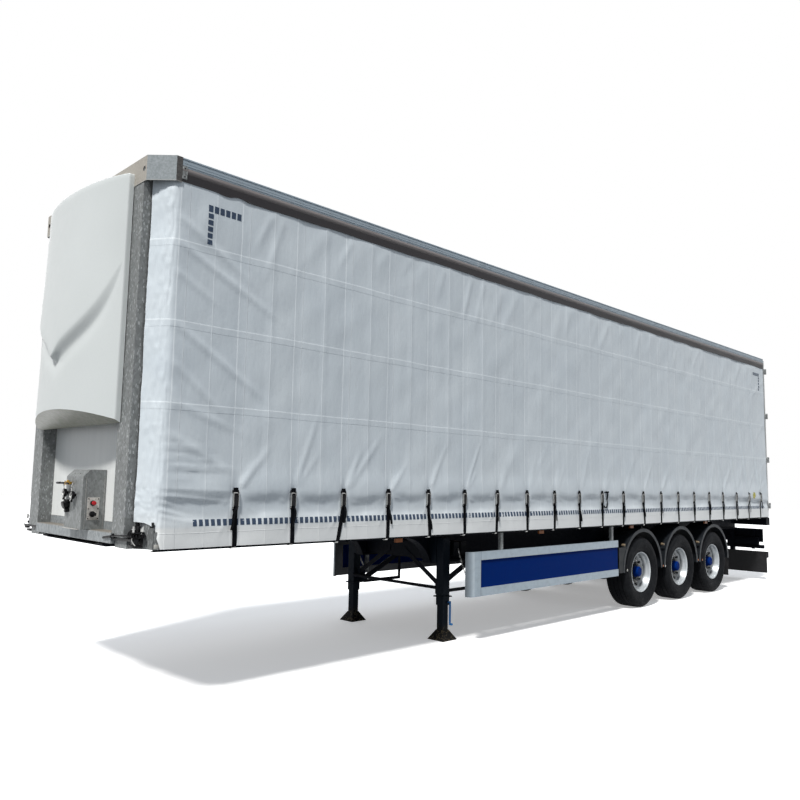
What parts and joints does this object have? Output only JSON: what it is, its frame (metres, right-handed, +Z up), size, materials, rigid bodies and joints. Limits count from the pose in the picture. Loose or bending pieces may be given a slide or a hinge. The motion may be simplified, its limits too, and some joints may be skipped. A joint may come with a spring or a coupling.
{
  "type": "curtain-sided semi trailer",
  "caption": "Curtain-sided semi trailer on three axles and landing legs, with a kingpin, a moulded front deflector, side guards and hinged rear doors.",
  "frame": {"origin": "on the ground under the middle of the trailer's box", "axes": "+X forward to the front wall and kingpin end, +Y to the nearside (left), +Z up"},
  "size_m": [13.8616, 2.55, 4.5],
  "materials": {
    "chassis_paint": "satin",
    "leg_paint": "satin",
    "galvanised": "spangled",
    "white_grp": "gloss",
    "aluminium": "satin",
    "blue_panel": "satin",
    "curtain_pvc": "semi-matt coated fabric",
    "webbing": "matt",
    "buckle_steel": "satin",
    "rubber_black": "matt",
    "valance_rubber": "satin",
    "tyre_rubber": "matt",
    "rim_silver": "gloss",
    "plywood": "phenolic film",
    "black_plastic": "grained",
    "lamp_plastic": "gloss",
    "tank_paint": "satin",
    "crank_paint": "satin",
    "fitting_black": "satin",
    "door_white": "satin"
  },
  "bodies": {
    "trailer": {"air_deflector": "white_grp", "air_equipment": "tank_paint", "air_springs": "rubber_black", "axles": "chassis_paint", "coupling_box": "galvanised", "coupling_fittings": "fitting_black", "coupling_plate": "chassis_paint", "cross_members": "chassis_paint", "curtain_buckles": "buckle_steel", "curtain_left": "curtain_pvc", "curtain_right": "curtain_pvc", "curtain_straps": "webbing", "curtain_tensioners": "buckle_steel", "front_header": "galvanised", "front_panel": "white_grp", "front_posts": "galvanised", "front_rail": "galvanised", "kingpin": "buckle_steel", "lamps": "lamp_plastic", "landing_feet": "leg_paint", "landing_legs": "leg_paint", "leg_braces": "chassis_paint", "leg_crank": "crank_paint", "load_floor": "plywood", "main_beams": "chassis_paint", "mudguard_stays": "chassis_paint", "mudguards": "black_plastic", "rear_frame": "galvanised", "rear_sill": "chassis_paint", "roof_bows": "aluminium", "roof_rails": "aluminium", "roof_sheet": "curtain_pvc", "roof_valances": "valance_rubber", "side_pillars": "galvanised", "side_raves": "chassis_paint", "sideguard_brackets": "galvanised", "sideguard_frames": "aluminium", "sideguard_panels": "blue_panel", "spray_flaps": "rubber_black", "trailing_arms": "chassis_paint", "underrun_frame": "chassis_paint"},
    "wheel_left_1": {"tyre_left_1": "tyre_rubber", "rim_left_1": "rim_silver"},
    "wheel_right_1": {"tyre_right_1": "tyre_rubber", "rim_right_1": "rim_silver"},
    "wheel_left_2": {"tyre_left_2": "tyre_rubber", "rim_left_2": "rim_silver"},
    "wheel_right_2": {"tyre_right_2": "tyre_rubber", "rim_right_2": "rim_silver"},
    "wheel_left_3": {"tyre_left_3": "tyre_rubber", "rim_left_3": "rim_silver"},
    "wheel_right_3": {"tyre_right_3": "tyre_rubber", "rim_right_3": "rim_silver"},
    "door_left": {"rear_door_left": "door_white", "door_gear_left": "galvanised"},
    "door_right": {"rear_door_right": "door_white", "door_gear_right": "galvanised"}
  },
  "joints": [
    {"name": "wheel_left_1_spin", "type": "hinge", "parent": "trailer", "child": "wheel_left_1", "pos_m": [-1.515, 1.055, 0.53], "axis": [0, 1, 0], "continuous": true},
    {"name": "wheel_right_1_spin", "type": "hinge", "parent": "trailer", "child": "wheel_right_1", "pos_m": [-1.515, -1.055, 0.53], "axis": [0, 1, 0], "continuous": true},
    {"name": "wheel_left_2_spin", "type": "hinge", "parent": "trailer", "child": "wheel_left_2", "pos_m": [-2.825, 1.055, 0.53], "axis": [0, 1, 0], "continuous": true},
    {"name": "wheel_right_2_spin", "type": "hinge", "parent": "trailer", "child": "wheel_right_2", "pos_m": [-2.825, -1.055, 0.53], "axis": [0, 1, 0], "continuous": true},
    {"name": "wheel_left_3_spin", "type": "hinge", "parent": "trailer", "child": "wheel_left_3", "pos_m": [-4.135, 1.055, 0.53], "axis": [0, 1, 0], "continuous": true},
    {"name": "wheel_right_3_spin", "type": "hinge", "parent": "trailer", "child": "wheel_right_3", "pos_m": [-4.135, -1.055, 0.53], "axis": [0, 1, 0], "continuous": true},
    {"name": "rear_door_left_hinge", "type": "hinge", "parent": "trailer", "child": "door_left", "pos_m": [-6.913, 1.262, 2.87], "axis": [0, 0, -1], "range_deg": [0, 260]},
    {"name": "rear_door_right_hinge", "type": "hinge", "parent": "trailer", "child": "door_right", "pos_m": [-6.913, -1.262, 2.87], "axis": [0, 0, 1], "range_deg": [0, 260]}
  ]
}
